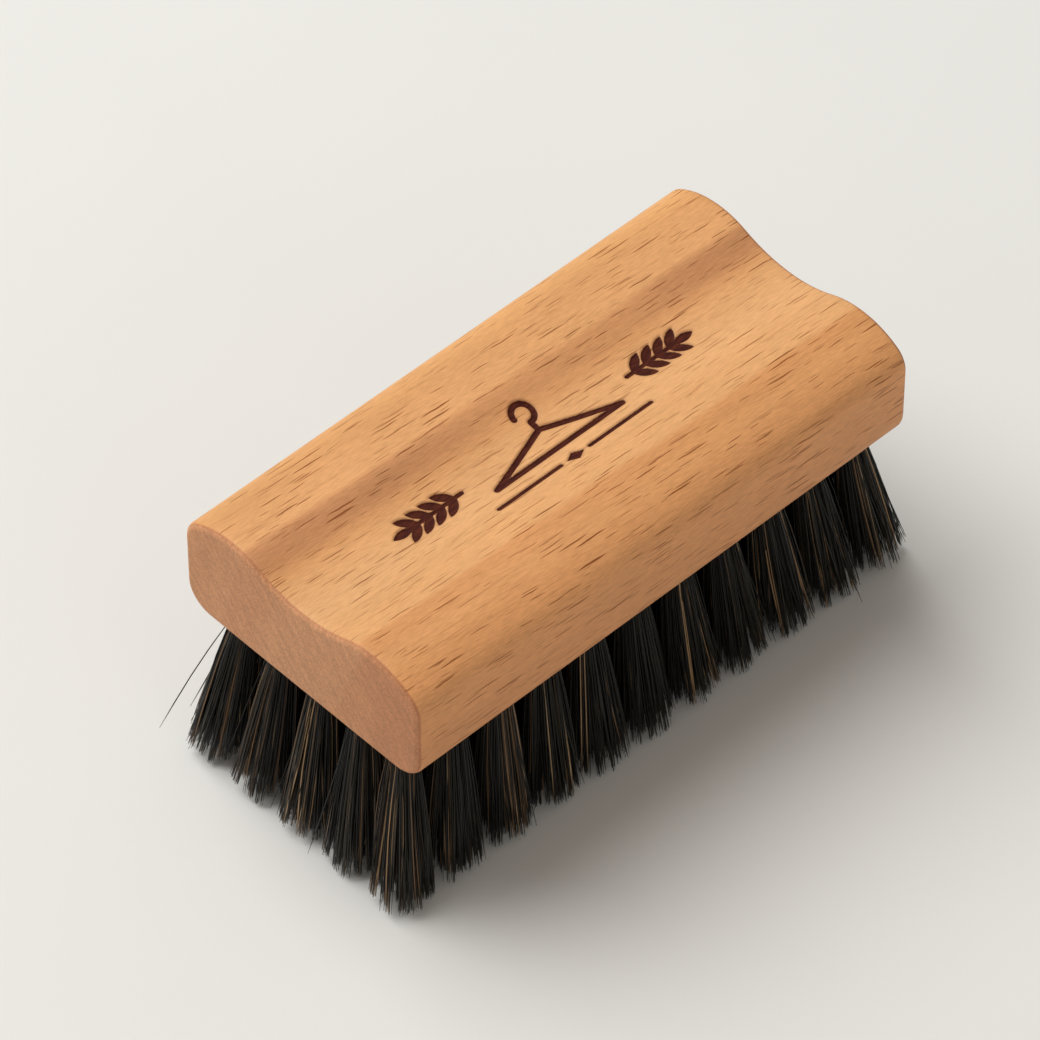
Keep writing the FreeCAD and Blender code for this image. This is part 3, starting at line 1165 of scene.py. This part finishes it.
    def build(self, centres: np.ndarray, finish: bpy.types.Material) -> bpy.types.Object:
        """Make the block.

        Args:
            centres: (n, 2) hole centres.
            finish: its material.

        Returns:
            The finished piece.
        """
        angle = np.linspace(0.0, 2 * math.pi, self.hole_sides, endpoint=False)
        ring = self.hole_radius * np.column_stack([np.cos(angle), np.sin(angle)])
        points, quads, distance, girth = self.skin()
        outline_count = len(self.outline())
        first_cap = list(range(outline_count))
        last_cap = list(range(len(points) - outline_count, len(points)))
        verts, faces = [points], quads.tolist() + [first_cap, last_cap[::-1]]
        total = len(points)
        drilled = [self.drilled_face(centres, ring)] + [self.hole(centre, ring) for centre in centres]
        for more_points, more_faces in drilled:
            verts.append(more_points)
            faces += [[index + total for index in face] for face in more_faces]
            total += len(more_points)
        block = new_piece("handle_block_marked", np.vstack(verts), faces)
        added = np.ones(total - len(points))
        set_point_values(block, "mark_distance", np.concatenate([distance, self.unmarked * added]))
        set_point_values(block, "girth", np.concatenate([girth, 0 * added]))
        weld(block, self.weld_reach)
        block.data.set_sharp_from_angle(angle=self.sharp_angle)
        block.data.materials.append(finish)
        return block


# ---------------------------------------------------------------- the hair


@dataclass(frozen=True)
class Tuft:
    """One tuft: hairs folded in half over a flat wire, which fan out below the block.

    Each hair is one closed three-sided tube that runs from one tip up into the hole, over
    the wire and down to its other tip.
    """

    name: str
    root: np.ndarray
    tip: np.ndarray
    outward: np.ndarray
    seed: int
    underside: float
    wire_top: float
    hairs: int
    hole_reach: float = 2.1 * MM
    spare_roots: float = 1.5           # places in the hole for each leg, before the wire's strip goes
    wire_gap: float = 0.4 * MM
    least_room: tuple[float, float] = (0.02, 0.05)     # keep the fan's shares finite at the hole's edge
    tip_reach: float = 5.3 * MM
    tip_scatter: float = 0.28 * MM
    corner_stretch: float = 0.1
    lock_count: int = 24
    lock_scatter: float = 0.5 * MM
    lock_pull: float = 0.4
    pull_range: tuple[float, float] = (0.5, 1.3)
    lock_rise: float = 1.9 * MM
    tip_rise: float = 1.4 * MM
    splay_rise: float = 0.8
    bow: float = 0.3 * MM
    curl: tuple[float, float] = (1.06, 0.1)    # mean and spread of the power that a leg fans out by
    way_down: tuple[float, ...] = (1.0, 0.8, 0.56, 0.33, 0.13, 0.0)
    fold_points: int = 5
    fold_start: float = 0.3 * MM       # how far below the wire's top the folds begin
    fold_rise: float = 0.55 * MM
    fold_round: float = 0.35           # what share of a fold's half width is added to its rise
    hair_radius: float = 0.125 * MM
    taper: tuple[float, ...] = (0.32, 1.0, 1.0, 0.94, 0.85, 0.75)      # shares of it, the tip first
    folded_radius: float = 0.08 * MM
    dark_tones: float = 0.6            # the tone that the palest dark hair comes near
    brown_from: float = 0.62           # the tone from which a hair counts as brown
    brown_tones: tuple[float, float] = (0.68, 1.0)
    brown_blur: float = 0.04
    bunch_sizes: tuple[int, int] = (1, 4)              # from the first, up to one less than the last
    brown_share: float = 0.08
    end_brown_share: float = 0.24      # on the -X end
    bunch_scatter: float = 0.2 * MM
    stray_share: float = 0.02
    stray_spread: float = 0.35
    stray_out_mm: tuple[float, float] = (0.6, 2.2)
    stray_up_mm: tuple[float, float] = (0.3, 4.2)
    lowest: float = 0.02 * MM
    map_across: tuple[float, ...] = (0.15, 0.5, 0.85)  # where a hair's three edges lie in its column
    map_up: tuple[float, float] = (0.002, 0.998)

    def roots(self, rng: np.random.Generator) -> np.ndarray:
        """Where the two legs of each hair stand in the hole, about its axis.

        The places follow a sunflower pattern without the strip that the wire takes up, and
        are paired across the wire in order of y.

        Args:
            rng: the tuft's random source.

        Returns:
            (2, hairs, 2) places, with the legs on the -X side first.
        """
        spot = sunflower(round(self.hairs * 2 * self.spare_roots), self.hole_reach,
                         rng.uniform(0, 2 * math.pi))
        sides = []
        for sign in (-1.0, 1.0):
            legs = spot[spot[:, 0] * sign > self.wire_gap]
            legs = legs[np.sort(rng.permutation(len(legs))[:self.hairs])]
            sides.append(legs[np.argsort(legs[:, 1])])
        return np.array(sides)

    def fanned(self, legs: np.ndarray) -> np.ndarray:
        """Where straight hairs would end: a leg keeps its bearing and its share of the way out.

        Args:
            legs: (n, 2) places in the hole.

        Returns:
            (n, 2) places about the tuft's own tip point.
        """
        across = legs[:, 1] / self.hole_reach
        room = np.sqrt(np.maximum(1.0 - across ** 2, self.least_room[0]))
        gap = self.wire_gap / self.hole_reach
        share = (np.abs(legs[:, 0]) / self.hole_reach - gap) / np.maximum(room - gap, self.least_room[1])
        along = np.sign(legs[:, 0]) * np.clip(share, 0.0, 1.0) * room
        bearing = np.arctan2(across, along)
        reach = self.tip_reach * (1 + self.corner_stretch * np.sin(2 * bearing) ** 2)
        return np.column_stack([along, across]) * reach[:, None]

    def tips(self, legs: np.ndarray, rng: np.random.Generator) -> np.ndarray:
        """Where the hairs end, about the tuft's own tip point.

        Tips are pulled part of the way to the nearest of a few lock centres, each with a
        height of its own.

        Args:
            legs: (n, 2) places in the hole.
            rng: the tuft's random source.

        Returns:
            (n, 3) places, with heights above the tip plane.
        """
        spot = self.fanned(legs) + rng.normal(0, self.tip_scatter, (len(legs), 2))
        centres = sunflower(self.lock_count, self.tip_reach, rng.uniform(0, 2 * math.pi))
        centres += rng.normal(0, self.lock_scatter, centres.shape)
        lock = gaps(spot, centres).argmin(axis=1)
        pull = (self.lock_pull * rng.uniform(*self.pull_range, self.lock_count))[lock]
        spot += (centres[lock] - spot) * pull[:, None]
        rise = (self.lock_rise * rng.uniform(0, 1, self.lock_count) ** 2)[lock]
        lean = np.hypot(*(spot + self.tip - self.root - legs).T)
        splay = self.splay_rise * (np.hypot(self.underside, lean) - self.underside)
        height = self.lowest + rise + splay + self.tip_rise * rng.uniform(0, 1, len(spot)) ** 3
        return np.column_stack([spot, height])

    def add_strays(self, tips: np.ndarray, rng: np.random.Generator) -> None:
        """Push a few tips of an outer tuft out and up.

        Args:
            tips: (n, 3) places, changed in place.
            rng: the tuft's random source.
        """
        if not self.outward.any():
            return
        chosen = rng.uniform(0, 1, len(tips)) < self.stray_share
        count = int(chosen.sum())
        away = self.outward[None, :] + rng.normal(0, self.stray_spread, (count, 2))
        tips[chosen, :2] += away * rng.uniform(*self.stray_out_mm, count)[:, None] * MM
        tips[chosen, 2] += rng.uniform(*self.stray_up_mm, count) * MM

    def legs_out(self, legs: np.ndarray, tips: np.ndarray, rng: np.random.Generator) -> np.ndarray:
        """Centre lines from the tips up to the mouth of the hole.

        At a share s of the way down, a hair is a share s ** p of the way from its root to
        its tip, with p near 1, and bows sideways by the sine of pi s.

        Args:
            legs: (n, 2) places in the hole.
            tips: (n, 3) ends.
            rng: the tuft's random source.

        Returns:
            (n, rings, 3) points, the tip first.
        """
        down = np.array(self.way_down)
        count = len(legs)
        power = rng.normal(*self.curl, count)[:, None]
        start = legs + self.root
        end = tips[:, :2] + self.tip
        way = (down[None, :] ** power)[:, :, None]
        plan = start[:, None, :] * (1 - way) + end[:, None, :] * way
        bow = rng.normal(0, self.bow, (count, 1, 2)) * np.sin(math.pi * down)[None, :, None]
        height = self.underside + (tips[:, 2] - self.underside)[:, None] * down[None, :]
        return np.concatenate([plan + bow, height[:, :, None]], axis=2)

    def fold(self, legs: np.ndarray) -> np.ndarray:
        """Centre lines over the wire: half an ellipse from each left leg to its right leg.

        Args:
            legs: (2, n, 2) places in the hole.

        Returns:
            (n, points, 3) points, from left to right.
        """
        angle = np.linspace(math.pi, 0.0, self.fold_points)
        middle = (legs[0] + legs[1]) / 2
        half = (legs[1] - legs[0]) / 2
        plan = middle[:, None, :] + half[:, None, :] * np.cos(angle)[None, :, None]
        rise = self.fold_rise + self.fold_round * half[:, 0]
        height = self.wire_top - self.fold_start + rise[:, None] * np.sin(angle)[None, :]
        return np.concatenate([plan + self.root, height[:, :, None]], axis=2)

    def tones(self, tips: np.ndarray, rng: np.random.Generator) -> np.ndarray:
        """Give each hair a tone from 0, black, to 1, straw, with the brown ones in small bunches.

        Args:
            tips: (n, 3) ends.
            rng: the tuft's random source.

        Returns:
            (n,) tones.
        """
        count = len(tips)
        tone = self.dark_tones * rng.uniform(0.0, 1.0, count) ** 2.0
        share = self.end_brown_share if self.outward[0] < 0 else self.brown_share
        while (tone > self.brown_from).mean() < share:
            middle = tips[rng.integers(count), :2] + rng.normal(0, self.bunch_scatter, 2)
            near = np.argsort(np.hypot(*(tips[:, :2] - middle).T))[:rng.integers(*self.bunch_sizes)]
            shared = rng.uniform(*self.brown_tones)
            tone[near] = shared + rng.uniform(-self.brown_blur, self.brown_blur, len(near))
        return np.clip(tone, 0.0, 1.0)

    def tubes(self, lines: np.ndarray, radii: np.ndarray, turn: np.ndarray) -> np.ndarray:
        """Three points round each point of each centre line, at right angles to it.

        Args:
            lines: (n, rings, 3) centre lines, none of them along Y.
            radii: (rings,) distances from the centre line.
            turn: (n,) angles that the three sides are turned by.

        Returns:
            (n, rings, 3, 3) points.
        """
        along = np.gradient(lines, axis=1)
        along /= np.linalg.norm(along, axis=2, keepdims=True)
        side = np.array([0.0, 1.0, 0.0]) - along * along[:, :, 1:2]
        side /= np.linalg.norm(side, axis=2, keepdims=True)
        up = np.cross(along, side)
        angle = turn[:, None] + np.arange(3)[None, :] * 2 * math.pi / 3
        cos, sin = (f(angle)[:, None, :, None] for f in (np.cos, np.sin))
        away = side[:, :, None] * cos + up[:, :, None] * sin
        return lines[:, :, None, :] + radii[None, :, None, None] * away

    def build(self, finish: bpy.types.Material) -> bpy.types.Object:
        """Make the tuft.

        Args:
            finish: its material.

        Returns:
            The finished piece.
        """
        rng = np.random.default_rng(self.seed)
        legs = self.roots(rng)
        halves = []
        for side in legs:
            tips = self.tips(side, rng)
            self.add_strays(tips, rng)
            halves.append((tips, self.legs_out(side, tips, rng)))
        lines = np.concatenate([halves[0][1], self.fold(legs), halves[1][1][:, ::-1]], axis=1)
        count, rings = lines.shape[:2]
        outside = np.array(self.taper) * self.hair_radius
        folded = np.full(self.fold_points, self.folded_radius)
        radii = np.concatenate([outside, folded, outside[::-1]])
        points = self.tubes(lines, radii, rng.uniform(0, 2 * math.pi, count))
        points[..., 2] = np.maximum(points[..., 2], self.lowest)
        first = np.arange(count)[:, None] * rings * 3
        quads = (grid_faces(rings, 3, closed=True)[None] + first[:, :, None]).reshape(-1, 4)
        caps = np.vstack([first + [0, 2, 1], first + (rings - 1) * 3 + [0, 1, 2]])
        piece = new_piece(self.name, points.reshape(-1, 3), quads.tolist() + caps.tolist())
        tone = self.tones(halves[0][0], rng)
        set_point_values(piece, "hair_tone", np.repeat(tone, rings * 3))
        self.map_for_bake(piece, tone, rings)
        piece.data.materials.append(finish)
        return piece

    def map_for_bake(self, piece: bpy.types.Object, tone: np.ndarray, rings: int) -> None:
        """Give every hair one column of a UV map, in order of tone, with its length up the column.

        Args:
            piece: the tuft's piece.
            tone: (n,) tones of its hairs.
            rings: how many rings of points each hair has.
        """
        count = len(tone)
        column = np.empty(count)
        column[np.argsort(tone)] = np.arange(count)
        u = (column[:, None, None] + np.array(self.map_across)) / count
        v = np.linspace(*self.map_up, rings)[None, :, None]
        place = np.stack(np.broadcast_arrays(u, v), -1).reshape(-1, 2)
        corners = np.empty(len(piece.data.loops), np.int32)
        piece.data.loops.foreach_get("vertex_index", corners)
        layer = piece.data.uv_layers.new(name=BAKE_MAP)
        layer.uv.foreach_set("vector", place[corners].astype(np.float32).ravel())


@dataclass
class HairField:
    """The rows of tufts that stand in the block's holes."""

    columns: int = 11
    rows: int = 5
    root_pitch: tuple[float, float] = (10.0 * MM, 9.3 * MM)
    tip_pitch: tuple[float, float] = (10.8 * MM, 11.1 * MM)
    seed: int = 7300
    outer_hairs: int = 300
    inner_hairs: int = 200

    def grid(self, pitch: tuple[float, float]) -> np.ndarray:
        """Places about the middle of the block.

        Args:
            pitch: how far apart they are along X and along Y.

        Returns:
            (rows, columns, 2) places.
        """
        x = (np.arange(self.columns) - (self.columns - 1) / 2) * pitch[0]
        y = (np.arange(self.rows) - (self.rows - 1) / 2) * pitch[1]
        return np.stack(np.meshgrid(x, y), -1)

    def hole_centres(self) -> np.ndarray:
        """(n, 2) centres of all holes."""
        return self.grid(self.root_pitch).reshape(-1, 2)

    def tufts(self, underside: float, wire_top: float) -> Iterable[tuple[str, Tuft]]:
        """Every tuft with the name of the solid that it stands for.

        Args:
            underside: height of the block's underside.
            wire_top: height of the top of the anchor wires.

        Returns:
            The names and tufts, row by row.
        """
        roots, tips = self.grid(self.root_pitch), self.grid(self.tip_pitch)
        for row in range(self.rows):
            for column in range(self.columns):
                outward = np.array([
                    float(column == self.columns - 1) - float(column == 0),
                    float(row == self.rows - 1) - float(row == 0),
                ])
                node = f"tuft_r{row + 1}_c{column + 1:02d}"
                seed = self.seed + row * self.columns + column
                hairs = self.outer_hairs if outward.any() else self.inner_hairs
                yield node, Tuft(f"{node}_hair", roots[row, column], tips[row, column], outward, seed,
                                 underside, wire_top, hairs)


# ---------------------------------------------------------------- the studio


@dataclass(frozen=True)
class Lamp:
    """A round soft light: where it stands, as seen from the object, and its power in watts."""

    name: str
    bearing: float
    elevation: float
    power: float
    size: float = 1.7
    distance: float = 1.8
    colour: Colour = (1.0, 0.998, 0.985)


@dataclass(frozen=True)
class Studio:
    """A pale floor, a large soft light, a weak fill, a soft sky and the camera."""

    camera_bearing: float = math.radians(-43.629 - 90.0)
    camera_elevation: float = math.radians(48.009)
    camera_distance: float = 1.2275
    lens_mm: float = 259.6
    sensor_mm: float = 36.0
    clip: tuple[float, float] = (0.1, 20.0)
    aim: Triple = (-3.75 * MM, 3.08 * MM, 32.18 * MM)
    lamps: tuple[Lamp, ...] = (
        Lamp("key", math.radians(108.0), math.radians(58.0), 32.8),
        Lamp("fill", math.radians(-95.0), math.radians(15.0), 4.2),
    )
    sky_colour: Colour = (1.0, 0.95, 0.87)
    sky_strength: float = 0.292
    floor_colour: Colour = (0.80, 0.795, 0.775)
    floor_reach: float = 8.0
    floor_patches: Patches = Patches(50.0 * MM, 0.03)
    floor_roughness: float = 0.75
    floor_specular: float = 0.2

    def stand(self, name: str, data: Any, bearing: float, elevation: float,
              distance: float) -> bpy.types.Object:
        """Stand a camera or lamp off the object, pointed at it with its top side up.

        Args:
            name: its name.
            data: the camera or lamp.
            bearing: angle from +X towards +Y that it stands at.
            elevation: angle above the floor.
            distance: how far off it stands.

        Returns:
            Its object, linked to the scene.
        """
        level = math.cos(elevation)
        away = Vector((math.cos(bearing) * level, math.sin(bearing) * level, math.sin(elevation)))
        target = Vector(self.aim)
        place = target + away * distance
        turn = (target - place).to_track_quat("-Z", "Y")
        holder = bpy.data.objects.new(name, data)
        holder.matrix_world = Matrix.Translation(place) @ turn.to_matrix().to_4x4()
        bpy.context.scene.collection.objects.link(holder)
        return holder

    def add_camera(self) -> None:
        """Add the camera and make it the scene's own."""
        camera = bpy.data.cameras.new("camera")
        camera.lens = self.lens_mm
        camera.sensor_width = self.sensor_mm
        camera.clip_start, camera.clip_end = self.clip
        bpy.context.scene.camera = self.stand("camera", camera, self.camera_bearing,
                                              self.camera_elevation, self.camera_distance)

    def add_lights(self) -> None:
        """Add the lamps and the even sky."""
        for lamp in self.lamps:
            light = bpy.data.lights.new(lamp.name, "AREA")
            light.shape = "DISK"
            light.size = lamp.size
            light.energy = lamp.power
            light.color = lamp.colour
            self.stand(lamp.name, light, lamp.bearing, lamp.elevation, lamp.distance)
        world = bpy.data.worlds.new("soft_sky")
        world.use_nodes = True
        sky = world.node_tree.nodes["Background"]
        sky.inputs["Color"].default_value = (*self.sky_colour, 1.0)
        sky.inputs["Strength"].default_value = self.sky_strength
        bpy.context.scene.world = world

    def add_floor(self, effects: Effects) -> None:
        """Add the floor that the tips stand on.

        Args:
            effects: the shared groups.
        """
        corners = np.array([(-1, -1, 0), (1, -1, 0), (1, 1, 0), (-1, 1, 0)]) * self.floor_reach
        floor = new_piece("floor", corners, [(0, 1, 2, 3)])
        material, graph, shader = new_material("pale_floor")
        patches = effects.shade(graph, graph.place(), self.floor_patches)
        graph.feed(shader["Base Color"], graph.shaded(self.floor_colour, patches))
        shader["Roughness"].default_value = self.floor_roughness
        shader["Specular IOR Level"].default_value = self.floor_specular
        floor.data.materials.append(material)

    def build(self, effects: Effects) -> None:
        """Set the whole scene up round the object.

        Args:
            effects: the shared groups.
        """
        self.add_camera()
        self.add_lights()
        self.add_floor(effects)
        bpy.context.scene.view_settings.view_transform = "Standard"


# ---------------------------------------------------------------- putting it together


def put(piece: bpy.types.Object, node: str) -> int:
    """Stand a finished piece in for a solid of the frame.

    Args:
        piece: the piece.
        node: the solid that it replaces.

    Returns:
        How many faces it has.
    """
    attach(piece, BODY)
    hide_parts(node)
    log.info("%s: %d faces", piece.name, len(piece.data.polygons))
    return len(piece.data.polygons)


def main() -> None:
    """Build every piece in order."""
    logging.basicConfig(level=logging.INFO, format="%(name)s: %(message)s")
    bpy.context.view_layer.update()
    effects = Effects.build()
    hair_field = HairField()

    block = HandleBlock()
    beech = BeechFinish().material(effects, block, block.mark.edge)
    put(block.build(hair_field.hole_centres(), beech), "handle_block")

    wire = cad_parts["tuft_anchors"]
    steel = WireFinish().material(effects)
    for place in wire.material_slots:
        place.material = steel
    log.info("%s: dressed in %s", wire.name, steel.name)

    hair = HorsehairFinish().material(effects)
    wire_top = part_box("tuft_anchors")[1].z
    tufts = hair_field.tufts(block.underside, wire_top)
    faces = sum(put(tuft.build(hair), node) for node, tuft in tufts)
    log.info("all tufts: %d faces", faces)

    Studio().build(effects)


if __name__ == "__main__":
    main()
